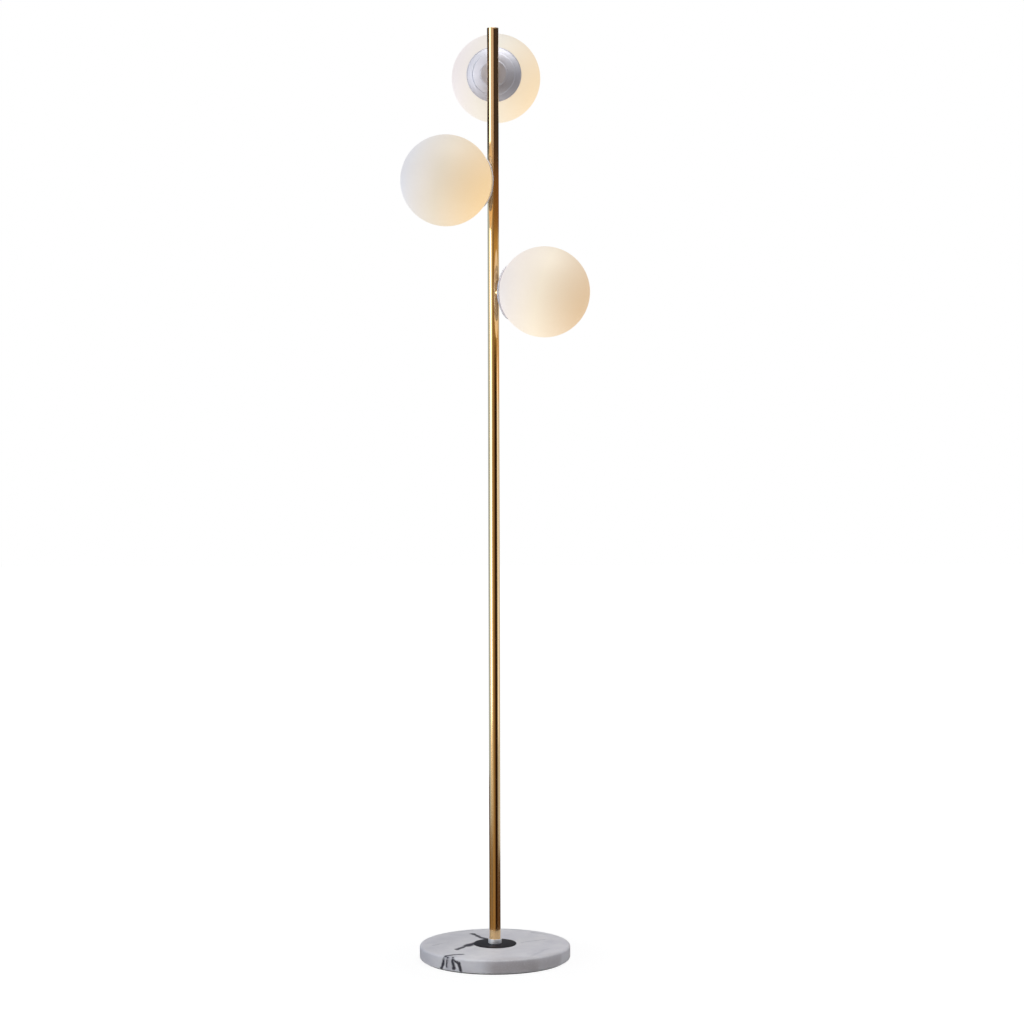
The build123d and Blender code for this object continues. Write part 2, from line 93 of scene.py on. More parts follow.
def plug(node, inputs):
    """Sets a node's inputs, each to a value or to another node's output."""
    for socket, value in inputs.items():
        if isinstance(value, bpy.types.NodeSocket):
            node.id_data.links.new(value, node.inputs[socket])
        else:
            node.inputs[socket].default_value = value


def add_node(tree, kind, inputs=None, **settings):
    """Adds a node with its settings and its inputs."""
    node = tree.nodes.new(kind)
    for name, value in settings.items():
        setattr(node, name, value)
    plug(node, inputs or {})
    return node


def maths(tree, operation, first, second=0.0):
    """The result of an operation on one or two numbers."""
    return add_node(tree, "ShaderNodeMath", {0: first, 1: second}, operation=operation).outputs[0]


def soft_panel(name, place, aim, width, height, power, colour):
    """A soft rectangular lamp that faces the point aim."""
    data = bpy.data.lights.new(name, "AREA")
    data.shape = "RECTANGLE"
    data.size = width
    data.size_y = height
    data.energy = power
    data.color = hex_colour(colour)[:3]
    lamp = new_object(name, data)
    lamp.location = place
    lamp.rotation_euler = (Vector(aim) - Vector(place)).to_track_quat("-Z", "Y").to_euler()


soft_panel("window_left", (-2.2, -1.33, 1.25), (0, 0, 0.95), 1.5, 2.4, 24, "#F2F6FF")
soft_panel("window_right", (2.8, -0.1, 0.5), (0, 0, 0.5), 1.2, 1.04, 3, "#EEF2FF")
soft_panel("ceiling_panel", (1.2, -0.8, 7.0), (0, 0, 0.6), 5.0, 4.4, 270, "#FFFFFF")

# Camera, metal and glass see the white studio; the rest gets a lower, even light.
white = bpy.data.worlds.new("white_studio")
white.use_nodes = True
sky_tree = white.node_tree
sky_tree.nodes.clear()
ray = add_node(sky_tree, "ShaderNodeLightPath")
direct = maths(sky_tree, "MAXIMUM", ray.outputs["Is Camera Ray"], ray.outputs["Is Glossy Ray"])
seen = maths(sky_tree, "MAXIMUM", direct, ray.outputs["Is Transmission Ray"])
even_light = add_node(
    sky_tree, "ShaderNodeBackground", {"Color": hex_colour("#F4F6FF"), "Strength": 0.2}
)
white_light = add_node(
    sky_tree, "ShaderNodeBackground", {"Color": (1, 1, 1, 1), "Strength": 1.0}
)
sky_mix = add_node(
    sky_tree, "ShaderNodeMixShader", {0: seen, 1: even_light.outputs[0], 2: white_light.outputs[0]}
)
add_node(sky_tree, "ShaderNodeOutputWorld", {"Surface": sky_mix.outputs[0]})
bpy.context.scene.world = white


def stage_material(name):
    """An empty material for studio equipment, and its tree."""
    material = bpy.data.materials.new(name)
    material.use_nodes = True
    material.node_tree.nodes.clear()
    return material, material.node_tree


def stage_mesh(name, corners, faces, material):
    """Studio equipment of plain faces, kept out of the object."""
    mesh = bpy.data.meshes.new(name)
    mesh.from_pydata(corners, [], faces)
    mesh.materials.append(material)
    new_object(name, mesh)


def mapped(tree, value, low, high, start=0.0, end=1.0):
    """A number that runs from low to high while the value runs from start to end."""
    return add_node(
        tree, "ShaderNodeMapRange",
        {"Value": value, "From Min": start, "From Max": end, "To Min": low, "To Max": high},
    ).outputs[0]


def pale_floor():
    """Matt white floor that keeps the lamp's shadow and otherwise reads as white; its glow is
    painted shade and light, lower near the lamp's foot and higher farther out.
    """
    material, tree = stage_material("matt_white_floor")
    glow_share = 0.8
    # Painted shade and light: the floor's glow for the camera rises from near the lamp's foot to
    # farther out.
    near_painted_glow, far_painted_glow = 1.14, 1.26
    near, far = 0.15, 0.6
    ray = add_node(tree, "ShaderNodeLightPath")
    share = maths(tree, "MULTIPLY", ray.outputs["Is Camera Ray"], glow_share)
    matt = add_node(tree, "ShaderNodeBsdfDiffuse", {"Color": hex_colour("#C4C4C4")})
    place = add_node(tree, "ShaderNodeTexCoord")
    away = add_node(
        tree, "ShaderNodeVectorMath", {0: place.outputs["Object"]}, operation="LENGTH"
    )
    level = mapped(tree, away.outputs["Value"], near_painted_glow, far_painted_glow, near, far)
    glow = add_node(tree, "ShaderNodeEmission", {"Color": (1, 1, 1, 1), "Strength": level})
    lit = add_node(
        tree, "ShaderNodeMixShader", {0: share, 1: matt.outputs[0], 2: glow.outputs[0]}
    )
    clear = add_node(tree, "ShaderNodeBsdfTransparent")
    mixed = add_node(
        tree, "ShaderNodeMixShader",
        {0: ray.outputs["Is Glossy Ray"], 1: lit.outputs[0], 2: clear.outputs[0]},
    )
    add_node(tree, "ShaderNodeOutputMaterial", {"Surface": mixed.outputs[0]})
    return material


floor_reach = 9.0
floor_drop = -0.2 * mm
floor_corners = [
    (x * floor_reach, y * floor_reach, floor_drop) for x, y in ((-1, -1), (1, -1), (1, 1), (-1, 1))
]
stage_mesh("floor", floor_corners, [(0, 1, 2, 3)], pale_floor())


# The room that polished metal and glass see: cards and cloths stand round the lamp at
# bearings in degrees from the camera's side, to the right, each with its shade.
def seen_in_metal(name, shade_node):
    """A material for cards and cloths: only reflections see it, in the shade that is given."""
    material, tree = stage_material(name)
    ray = add_node(tree, "ShaderNodeLightPath")
    clear = add_node(tree, "ShaderNodeBsdfTransparent")
    mixed = add_node(
        tree, "ShaderNodeMixShader",
        {0: ray.outputs["Is Glossy Ray"], 1: clear.outputs[0], 2: shade_node(tree).outputs[0]},
    )
    add_node(tree, "ShaderNodeOutputMaterial", {"Surface": mixed.outputs[0]})
    return material


room_shades = [
    (-180, "#A4A8AC"), (-140, "#B4CCE4"), (-118, "#BCDBFF"), (-88, "#C4E0FF"), (-60, "#E9D9C6"),
    (-33, "#C9CBC5"), (-12, "#A48B5D"), (8, "#8A7254"), (20, "#4A3626"),
    (30, "#1A0C06"), (46, "#20140C"), (58, "#4B3C30"), (68, "#8E9094"),
    (80, "#BCC8D8"), (108, "#D8E0E8"), (135, "#E4E4E4"), (160, "#98928C"), (180, "#A4A8AC"),
]


def room_shade(tree):
    """The room's own shades, which change with the bearing."""
    place = add_node(tree, "ShaderNodeTexCoord")
    turn = add_node(
        tree, "ShaderNodeMapping",
        {"Vector": place.outputs["Object"], "Rotation": (0, 0, math.radians(90))},
    )
    bearing = add_node(
        tree, "ShaderNodeTexGradient", {"Vector": turn.outputs[0]}, gradient_type="RADIAL"
    )
    ramp = add_node(tree, "ShaderNodeValToRGB", {"Fac": bearing.outputs["Fac"]})
    stops = ramp.color_ramp.elements
    stops[1].position = 1.0
    for degrees, _ in room_shades[1:-1]:
        stops.new((degrees + 180) / 360)
    for stop, (_, code) in zip(stops, room_shades):
        stop.color = hex_colour(code)
    return add_node(tree, "ShaderNodeEmission", {"Color": ramp.outputs["Color"]})


def even_shade(code, strength=1.0):
    """One even shade, for a card or a cloth."""
    return lambda tree: add_node(
        tree, "ShaderNodeEmission", {"Color": hex_colour(code), "Strength": strength}
    )


def fading_shade(code, strength, low, high):
    """A shade that fades out downwards between two heights, for a card lit from above."""
    low_share = 0.08

    def shade_node(tree):
        place = add_node(tree, "ShaderNodeTexCoord")
        apart = add_node(tree, "ShaderNodeSeparateXYZ", {0: place.outputs["Object"]})
        level = mapped(tree, apart.outputs["Z"], strength * low_share, strength, low, high)
        return add_node(
            tree, "ShaderNodeEmission", {"Color": hex_colour(code), "Strength": level}
        )
    return shade_node


def standing_wall(name, bearings, heights, distance, material):
    """A curved wall round the lamp, from one bearing to another."""
    start, end = bearings
    low, high = heights
    degrees_per_face = 5
    steps = max(1, round((end - start) / degrees_per_face))
    foot = []
    for k in range(steps + 1):
        turn = math.radians(start + (end - start) * k / steps)
        foot.append(Vector((math.sin(turn), -math.cos(turn), 0)) * distance)
    corners = [point + up * low for point in foot] + [point + up * high for point in foot]
    faces = [(k, k + 1, steps + 2 + k, steps + 1 + k) for k in range(steps)]
    stage_mesh(name, corners, faces, material)


# Each wall is (name, finish, bearings, heights, distance, shade).
bright = fading_shade("#FFFBF2", 1.9, -0.75, -0.05)
room_walls = [
    ("room", "room_walls", (-180, 180), (-3.0, 9.0), 5.6, room_shade),
    ("bright_card", "card_white", (-74, -46), (-1.0, 4.0), 5.2, bright),
    ("high_card", "card_grey", (-50, 12), (1.75, 4.0), 5.1, even_shade("#CAC0C2", 1.15)),
    ("left_dark_cloth", "cloth_grey", (-178, -80), (1.75, 4.0), 5.3, even_shade("#3A3430")),
    ("low_card", "card_tan", (-130, -18), (-3.0, -0.7), 5.4, even_shade("#9A8058")),
    ("low_left_cloth", "cloth_tan", (-178, -104), (-3.0, -0.5), 5.3, even_shade("#5E5240")),
    ("amber_cloth", "cloth_amber", (14, 178), (1.383, 1.568), 3.3, even_shade("#85603A")),
    ("straw_cloth", "cloth_straw", (14, 110), (1.08, 1.383), 3.3, even_shade("#CCAC6C")),
    ("sand_cloth", "cloth_sand", (66, 178), (0.9, 1.08), 3.3, even_shade("#D4B586")),
    ("high_dark_cloth", "cloth_black", (30, 178), (1.56, 3.6), 3.2, even_shade("#443E40")),
    ("low_dark_cloth", "cloth_brown", (52, 178), (-3.0, -0.72), 5.0, even_shade("#5E4836")),
]
for name, finish, bearings, heights, distance, shade in room_walls:
    standing_wall(name, bearings, heights, distance, seen_in_metal(finish, shade))

# ================================================================ felt pad
# A disc of pressed black wool felt glued under the marble, a little smaller than it, so that
# the stone doesn't scratch the floor. Only its edge shows.

sharp_angle = math.radians(35)


def as_object(name, shape):
    """Turns a finished bmesh into a smooth-shaded object whose place is in its mesh."""
    mesh = bpy.data.meshes.new(name)
    shape.to_mesh(mesh)
    shape.free()
    mesh.shade_smooth()
    mesh.set_sharp_from_angle(angle=sharp_angle)
    return new_object(name, mesh)


def rounded(corners, steps=6):
    """Points of a section whose corners are given as (radius, height, rounding)."""
    points = []
    for i, (x, y, rounding) in enumerate(corners):
        here = Vector((x, y))
        if rounding == 0:
            points.append(here)
            continue
        back = (Vector(corners[i - 1][:2]) - here).normalized()
        on = (Vector(corners[(i + 1) % len(corners)][:2]) - here).normalized()
        half = back.angle(on) / 2
        middle = here + (back + on).normalized() * rounding / math.sin(half)
        first = (here + back * rounding / math.tan(half) - middle).normalized()
        last = (here + on * rounding / math.tan(half) - middle).normalized()
        points += [middle + first.slerp(last, k / steps) * rounding for k in range(steps + 1)]
    return points


def turned(name, section, foot=Vector(), along=up, around=160):
    """Turns a section of (radius, distance along) once round the axis from foot."""
    weld = 0.0001 * mm
    sideways = along.orthogonal().normalized()
    shape = bmesh.new()
    line = [shape.verts.new(foot + sideways * x + along * y) for x, y in section]
    pairs = list(zip(line, line[1:]))
    if max(section[0][0], section[-1][0]) > 0:
        pairs.append((line[-1], line[0]))
    edges = [shape.edges.new(pair) for pair in pairs]
    bmesh.ops.spin(
        shape, geom=line + edges, cent=foot, axis=along,
        angle=2 * math.pi, steps=around, use_merge=True,
    )
    bmesh.ops.remove_doubles(shape, verts=shape.verts, dist=weld)
    bmesh.ops.recalc_face_normals(shape, faces=shape.faces)
    if shape.calc_volume(signed=True) < 0:
        bmesh.ops.reverse_faces(shape, faces=shape.faces)
    return as_object(name, shape)


def settle(piece, body, material, slot, *nodes):
    """Gives a finished piece its material and its body, and hides the nodes it shows; slot is not
    used.
    """
    piece.data.materials.append(material)
    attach(piece, body)
    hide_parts(*nodes)


def start_finish(name):
    """A new material, with its tree, its shader and Object coordinates in millimetres."""
    material = bpy.data.materials.new(name)
    material.use_nodes = True
    tree = material.node_tree
    coordinates = add_node(tree, "ShaderNodeTexCoord")
    scaled = add_node(
        tree, "ShaderNodeMapping",
        {"Vector": coordinates.outputs["Object"], "Scale": (1 / mm, 1 / mm, 1 / mm)},
    )
    return material, tree, tree.nodes["Principled BSDF"], scaled.outputs["Vector"]


def noise(tree, place, scale, detail, roughness=0.5, output="Fac"):
    """Cloudy noise whose largest spots are about 1 / scale across."""
    return add_node(
        tree, "ShaderNodeTexNoise",
        {"Vector": place, "Scale": scale, "Detail": detail, "Roughness": roughness},
    ).outputs[output]


def mixed_colour(tree, factor, low, high):
    """Two colours mixed by a factor."""
    return add_node(
        tree, "ShaderNodeMix", {0: factor, 6: low, 7: high}, data_type="RGBA"
    ).outputs[2]


def relief(tree, height, strength, depth):
    """A fine relief, of a depth in millimetres, for a shader's normals."""
    return add_node(
        tree, "ShaderNodeBump", {"Height": height, "Strength": strength, "Distance": depth * mm}
    ).outputs[0]


def pressed_felt():
    """Pressed wool felt: matt, fuzzy, with tufts about 1.5 mm across."""
    material, tree, shader, place = start_finish("pressed_wool_felt")
    tufts = noise(tree, place, 0.7, 8, 0.75)
    plug(shader, {
        "Base Color": mixed_colour(tree, tufts, hex_colour("#1B1B1C"), hex_colour("#3A3A3B")),
        "Normal": relief(tree, tufts, 0.7, 0.6),
        "Roughness": 0.95,
        "Sheen Weight": 0.4,
    })
    return material


pad_low, pad_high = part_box("felt_pad")
pad_edge = 0.5 * mm
pad = turned(
    "foot_felt",
    rounded([
        (0, pad_low.z, 0), (pad_high.x, pad_low.z, pad_edge),
        (pad_high.x, pad_high.z, pad_edge), (0, pad_high.z, 0),
    ]),
)
settle(pad, "root", pressed_felt(), "pad_felt", "felt_pad")

# ================================================================ marble foot
# A heavy disc of white marble with a softly rounded rim, honed and waxed. A pocket for the
# nut and a slot for the cord are milled into its underside.

foot_low, foot_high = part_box("marble_base")
foot_radius = foot_high.x
foot_rounding = 4.0 * mm
pocket_rounding = 0.6 * mm
hole_rounding = 0.4 * mm
pocket_radius = 42.0 * mm
pocket_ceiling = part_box("clamp_washer")[1].z
stud_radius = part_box("base_stud")[1].x
stud_hole = stud_radius + 0.2 * mm
slot_half_width = 4.5 * mm
slot_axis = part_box("cord_grommet")[1].z - slot_half_width
slot_start = pocket_radius * 0.8

marble = turned(
    "marble_foot",
    rounded([
        (stud_hole, foot_high.z, hole_rounding),
        (foot_radius, foot_high.z, foot_rounding),
        (foot_radius, foot_low.z, foot_rounding),
        (pocket_radius, foot_low.z, pocket_rounding),
        (pocket_radius, pocket_ceiling, pocket_rounding),
        (stud_hole, pocket_ceiling, hole_rounding),
    ], steps=10),
    around=240,
)


def apply_modifiers(piece):
    """Puts what a piece's modifiers make into its mesh."""
    bpy.context.view_layer.update()
    evaluated = piece.evaluated_get(bpy.context.evaluated_depsgraph_get())
    piece.data = bpy.data.meshes.new_from_object(evaluated)
    piece.modifiers.clear()


def cut_away(piece, cutter):
    """Takes the cutter's shape out of a piece and deletes the cutter."""
    cut = piece.modifiers.new("cut", "BOOLEAN")
    cut.object = cutter
    cut.operation = "DIFFERENCE"
    cut.solver = "EXACT"
    apply_modifiers(piece)
    piece.data.set_sharp_from_angle(angle=sharp_angle)
    bpy.data.objects.remove(cutter)


def extruded(name, outline, depth):
    """A prism: a closed outline of points in space, drawn out by the vector depth."""
    shape = bmesh.new()
    face = shape.faces.new([shape.verts.new(point) for point in outline])
    drawn = bmesh.ops.extrude_face_region(shape, geom=[face])
    moved = [item for item in drawn["geom"] if isinstance(item, bmesh.types.BMVert)]
    bmesh.ops.translate(shape, verts=moved, vec=depth)
    bmesh.ops.recalc_face_normals(shape, faces=shape.faces)
    return as_object(name, shape)


def arc(centre, first, second, radius, sweep, steps):
    """Points of an arc that starts towards the first direction and turns to the second."""
    angles = [sweep * k / steps for k in range(steps + 1)]
    return [centre + (first * math.cos(a) + second * math.sin(a)) * radius for a in angles]


across = Vector((1, 0, 0))
rearward = Vector((0, 1, 0))
slot_floor = rearward * slot_start - up * foot_low.z
slot_outline = [
    slot_floor + across * slot_half_width,
    *arc(rearward * slot_start + up * slot_axis, across, up, slot_half_width, math.pi, 12),
    slot_floor - across * slot_half_width,
]
cut_away(marble, extruded("slot_cutter", slot_outline, rearward * foot_radius))


def vein_group():
    """Node group: how strongly a point lies on one straight length of vein."""
    group = bpy.data.node_groups.new("vein_stretch", "ShaderNodeTree")
    for name, kind in (
        ("Place", "NodeSocketVector"), ("Start", "NodeSocketVector"),
        ("End", "NodeSocketVector"), ("Width", "NodeSocketFloat"),
    ):
        group.interface.new_socket(name, in_out="INPUT", socket_type=kind)
    group.interface.new_socket("Strength", in_out="OUTPUT", socket_type="NodeSocketFloat")

    def vectors(operation, first, second, output="Vector"):
        return add_node(
            group, "ShaderNodeVectorMath", {0: first, 1: second}, operation=operation
        ).outputs[output]

    given = add_node(group, "NodeGroupInput").outputs
    run = vectors("SUBTRACT", given["End"], given["Start"])
    away = vectors("SUBTRACT", given["Place"], given["Start"])
    along = vectors("DOT_PRODUCT", away, run, "Value")
    whole = vectors("DOT_PRODUCT", run, run, "Value")
    share = add_node(
        group, "ShaderNodeMath", {0: along, 1: whole}, operation="DIVIDE", use_clamp=True
    )
    nearest = add_node(
        group, "ShaderNodeVectorMath", {0: run, "Scale": share.outputs[0]}, operation="SCALE"
    )
    near = add_node(
        group, "ShaderNodeMapRange",
        {"Value": vectors("DISTANCE", away, nearest.outputs[0], "Value"),
         "From Min": given["Width"], "From Max": 0.0},
        interpolation_type="SMOOTHSTEP",
    )
    add_node(group, "NodeGroupOutput", {"Strength": near.outputs[0]})
    return group


# Each vein or patch of painted shade is (start, end, half width, strength), in millimetres from
# the lamp's origin.
dark_veins = [
    ((-38, 80, 25), (-24, 52, 25), 6.9, 1.8),
    ((-24, 52, 25), (-6, 30, 25), 8.6, 1.8),
    ((-34, 8, 25), (-48, -18, 25), 10.3, 1.8),
    ((-48, -18, 25), (-64, -43, 25), 6.9, 1.8),
    ((-80, -92, 25), (-68, -84, 26), 5.8, 1.8),
    ((-68, -84, 26), (-55, -82, 26), 5.8, 1.3),
    ((-80, -96, 24), (-85, -94, 14), 4.6, 1.8),
    ((-85, -94, 14), (-90, -89, 2), 4.8, 1.8),
    ((-69, -104, 25), (-60, -112, 16), 3.9, 1.8),
    ((-60, -112, 16), (-57, -113, 5), 5.3, 1.8),
    ((-77, -101, 24), (-79, -99, 9), 3.4, 1.4),
    ((-70, -106, 22), (-69, -107, 9), 4.1, 1.6),
    ((60, 60, 2), (80, 98, 20), 3.4, 1.3),
    ((20, 124, 6), (-30, 118, 22), 3.0, 1.3),
]
faint_veins_and_painted_shade = [
    ((-105, -11, 25), (-79, 17, 25), 5.0, 0.55),
    ((44, 10, 25), (84, 34, 25), 5.0, 0.45),
    ((18, 119, 25), (50, 116, 25), 6.0, 0.55),
    ((62, 93, 25), (90, 70, 25), 5.0, 0.45),
    ((-80, 90, 25), (-40, 108, 25), 5.0, 0.35),
    ((90, -40, 25), (60, -95, 25), 6.0, 0.25),
    ((-72, -98, 24), (-74, -99, 4), 13.0, 0.5),
    # Painted shade, not a vein: a broad grey darkening over the left part of the top.
    ((-105, -40, 26), (-70, 70, 26), 60.0, 0.22),
]
# Painted shade with a warm painted reflection, not veins: a broad brownish darkening along the
# front-right side of the rim.
painted_side_shade = [
    ((0, -128, 12), (66, -110, 12), 26.0, 0.55),
    ((66, -110, 12), (104, -74, 12), 22.0, 0.4),
]


def white_marble():
    """Honed, waxed white marble: cloudy ground, thin dark veins and paler grey ones, with painted
    grey shade over the left of the top and painted brownish shade on the front-right side.
    """
    material, tree, shader, place = start_finish("honed_white_marble")
    drift_reach = 16.0
    centred = add_node(
        tree, "ShaderNodeVectorMath",
        {0: noise(tree, place, 0.035, 6, 0.6, "Color"), 1: (0.5, 0.5, 0.5)},
        operation="SUBTRACT",
    )
    shift = add_node(
        tree, "ShaderNodeVectorMath",
        {0: centred.outputs[0], "Scale": drift_reach}, operation="SCALE",
    )
    bent = add_node(
        tree, "ShaderNodeVectorMath", {0: place, 1: shift.outputs[0]}, operation="ADD"
    ).outputs[0]
    clouded = mapped(tree, noise(tree, bent, 0.018, 7, 0.62), 0.0, 1.0, 0.35, 0.72)
    colour = mixed_colour(tree, clouded, hex_colour("#EFEEF0"), hex_colour("#DAD9DF"))

    crystal = noise(tree, place, 0.9, 3)
    broken = mapped(tree, crystal, 0.55, 1.0, 0.25, 0.55)
    group = vein_group()
    for veins, tone in (
        (painted_side_shade, "#93857F"), (faint_veins_and_painted_shade, "#9A9AA5"), (dark_veins, "#2C2A38"),
    ):
        total = 0.0
        for start, end, width, strength in veins:
            vein = add_node(
                tree, "ShaderNodeGroup",
                {"Place": bent, "Start": start, "End": end, "Width": width}, node_tree=group,
            )
            weighed = maths(tree, "MULTIPLY", vein.outputs[0], strength)
            total = maths(tree, "MAXIMUM", total, weighed)
        worn = maths(tree, "MULTIPLY", total, broken)
        colour = mixed_colour(tree, worn, colour, hex_colour(tone))
    plug(shader, {
        "Base Color": colour,
        "Roughness": mapped(tree, crystal, 0.44, 0.6),
        "Normal": relief(tree, crystal, 0.12, 0.1),
        "IOR": 1.5,
        "Subsurface Weight": 0.08,
        "Subsurface Radius": (1.0, 0.9, 0.8),
        "Subsurface Scale": 4 * mm,
    })
    return material


settle(marble, "root", white_marble(), "white_marble", "marble_base")

# ================================================================ cord grommet
# A block of moulded black rubber pressed into the mouth of the cord slot, bored for the cord.
# Its texture is the fine spark grain of its mould.


def dress(material, *nodes):
    """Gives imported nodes, whose shapes are kept, a finish."""
    for name in nodes:
        for place in frame["nodes"][name].material_slots:
            place.material = material


def grained(name, low, high, roughness, grain, depth, more=None):
    """A plain moulded, fired or plated finish: two near shades in grains of a size in mm."""
    material, tree, shader, place = start_finish(name)
    grains = noise(tree, place, 1 / grain, 5, 0.6)
    plug(shader, {
        "Base Color": mixed_colour(tree, grains, hex_colour(low), hex_colour(high)),
        "Roughness": mapped(tree, grains, roughness * 0.8, roughness * 1.2),
        "Normal": relief(tree, grains, 0.3, depth),
        **(more or {}),
    })
    return material


dress(grained("moulded_black_rubber", "#161616", "#242424", 0.7, 0.5, 0.05), "cord_grommet")

# ================================================================ foot plate
# A thin steel disc under the pole's collar, powder coated satin black, which spreads the
# clamp load over the stone. Powder coat has a fine orange peel.

plate_low, plate_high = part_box("foot_plate")
plate_edge = 0.4 * mm
plate = turned(
    "black_foot_plate",
    rounded([
        (stud_hole, plate_low.z, 0), (plate_high.x, plate_low.z, 0),
        (plate_high.x, plate_high.z, plate_edge), (stud_hole, plate_high.z, 0),
    ]),
)
powder_coat = grained(
    "black_powder_coat", "#0F0F17", "#161620", 0.5, 0.8, 0.06, {"Specular IOR Level": 0.2}
)
settle(plate, "root", powder_coat, "black_steel", "foot_plate")

# ================================================================ foot collar
# A turned collar with a shallow seat for the tube's end, polished and nickel plated. The
# last fine lines of the lathe run round it.

collar_low, collar_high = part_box("foot_collar")
tube_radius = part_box("lower_tube")[1].x
tube_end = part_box("lower_tube")[0].z
collar_edge = 0.6 * mm
seat_edge = 0.2 * mm
seat_radius = tube_radius + 0.05 * mm
collar = turned(
    "nickel_collar",
    rounded([
        (stud_hole, collar_low.z, 0),
        (collar_high.x, collar_low.z, collar_edge),
        (collar_high.x, collar_high.z, collar_edge),
        (seat_radius, collar_high.z, seat_edge),
        (seat_radius, tube_end, 0),
        (stud_hole, tube_end, 0),
    ]),
)


def turned_nickel():
    """Polished nickel plate over turned steel, with lathe lines 0.3 mm apart."""
    material, tree, shader, place = start_finish("polished_nickel_plate")
    line_gap = 0.3
    apart = add_node(tree, "ShaderNodeSeparateXYZ", {0: place})
    lines = maths(tree, "MULTIPLY", apart.outputs["Z"], 2 * math.pi / line_gap)
    plug(shader, {
        "Base Color": hex_colour("#F4F5F6"),
        "Roughness": mapped(tree, noise(tree, place, 0.6, 4), 0.32, 0.5),
        "Normal": relief(tree, maths(tree, "SINE", lines), 0.15, 0.02),
        "Metallic": 0.4,
    })
    return material


settle(collar, "root", turned_nickel(), "polished_nickel", "foot_collar")

# ================================================================ clamp bolt under the foot
# A hollow threaded stud of zinc plated steel, with a plain washer, a spring washer and a nut
# in the pocket, pulls the pole down on the marble. Its thread is rolled.

metal = {"Metallic": 1.0}
zinc = grained("bright_zinc_plate", "#A9ADB4", "#C6C8C8", 0.3, 4.0, 0.03, metal)
dress(zinc, "base_stud", "clamp_washer", "spring_washer", "clamp_nut")


def thread_tree():
    """Geometry nodes: a screw thread's ridge, a helix that rises from the origin along Z."""
    tree = bpy.data.node_groups.new("screw_thread", "GeometryNodeTree")
    for name, kind in (
        ("Radius", "NodeSocketFloat"), ("Pitch", "NodeSocketFloat"),
        ("Turns", "NodeSocketFloat"), ("Depth", "NodeSocketFloat"),
        ("Finish", "NodeSocketMaterial"),
    ):
        tree.interface.new_socket(name, in_out="INPUT", socket_type=kind)
    tree.interface.new_socket("Geometry", in_out="OUTPUT", socket_type="NodeSocketGeometry")
    given = add_node(tree, "NodeGroupInput").outputs
    helix = add_node(
        tree, "GeometryNodeCurveSpiral",
        {"Resolution": 48, "Rotations": given["Turns"],
         "Start Radius": given["Radius"], "End Radius": given["Radius"],
         "Height": maths(tree, "MULTIPLY", given["Pitch"], given["Turns"])},
    )
    upright = add_node(
        tree, "GeometryNodeSetCurveNormal", {"Curve": helix.outputs[0]}, mode="Z_UP"
    )
    ridge = add_node(
        tree, "GeometryNodeCurvePrimitiveCircle",
        {"Resolution": 4, "Radius": given["Depth"]}, mode="RADIUS",
    )
    swept = add_node(
        tree, "GeometryNodeCurveToMesh",
        {"Curve": upright.outputs[0], "Profile Curve": ridge.outputs[0], "Fill Caps": True},
    )
    finished = add_node(
        tree, "GeometryNodeSetMaterial",
        {"Geometry": swept.outputs[0], "Material": given["Finish"]},
    )
    real = add_node(tree, "GeometryNodeRealizeInstances", {0: finished.outputs[0]})
    add_node(tree, "NodeGroupOutput", {0: real.outputs[0]})
    return tree


thread_nodes = thread_tree()


def screw_thread(name, radius, pitch, length, depth, foot, along, material, body):
    """A thread's ridge from foot along an axis, as a plain mesh that rides on a body."""
    piece = new_object(name, bpy.data.meshes.new(name))
    modifier = piece.modifiers.new("thread", "NODES")
    modifier.node_group = thread_nodes
    values = {
        "Radius": radius, "Pitch": pitch, "Turns": length / pitch, "Depth": depth,
        "Finish": material,
    }
    for socket in thread_nodes.interface.items_tree:
        if socket.in_out == "INPUT":
            modifier[socket.identifier] = values[socket.name]
    apply_modifiers(piece)
    turn = along.to_track_quat("Z", "Y").to_matrix().to_4x4()
    piece.data.transform(Matrix.Translation(foot) @ turn)
    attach(piece, body)


stud_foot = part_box("base_stud")[0].z
stud_pitch = 1.5 * mm
stud_ridge = 0.12 * mm
screw_thread(
    "base_stud_thread", stud_radius, stud_pitch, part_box("clamp_nut")[0].z - stud_foot,
    stud_ridge, up * stud_foot, up, zinc, "root",
)

# ================================================================ brass pole
# Three lengths of drawn brass tube screwed end to end, with a flat cap. The brass is
# antiqued, polished and lacquered, so it is brown-gold with mirror-like streaks.


def antiqued_brass():
    """Antiqued, polished and lacquered brass: drawn lines run lengthways, darker in patches."""
    material, tree, shader, place = start_finish("antiqued_lacquered_brass")
    patches = noise(tree, place, 0.02, 5, 0.6)
    stretched = add_node(
        tree, "ShaderNodeVectorMath", {0: place, 1: (1.0, 1.0, 0.01)}, operation="MULTIPLY"
    )
    lines = noise(tree, stretched.outputs[0], 2.2, 4)
    plug(shader, {
        "Base Color": mixed_colour(tree, patches, hex_colour("#E6BF86"), hex_colour("#F0CC98")),
        "Roughness": mapped(tree, lines, 0.07, 0.13),
        "Normal": relief(tree, lines, 0.03, 0.02),
        "Metallic": 1.0,
        "Coat Weight": 0.35,
        "Coat Roughness": 0.06,
    })
    return material


brass = antiqued_brass()
insert_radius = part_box("foot_insert")[1].x
tube_bore = insert_radius + 0.05 * mm
tube_edge = 0.12 * mm
tube_steps = 128
drill_radius = 5.05 * mm
Head = namedtuple("Head", "name foot arm")
heads = [
    Head(joint["name"].split("_")[1], Vector(joint["pos_m"]), Vector(joint["axis"]))
    for joint in frame["joints"] if joint["name"].endswith("_turn")
]


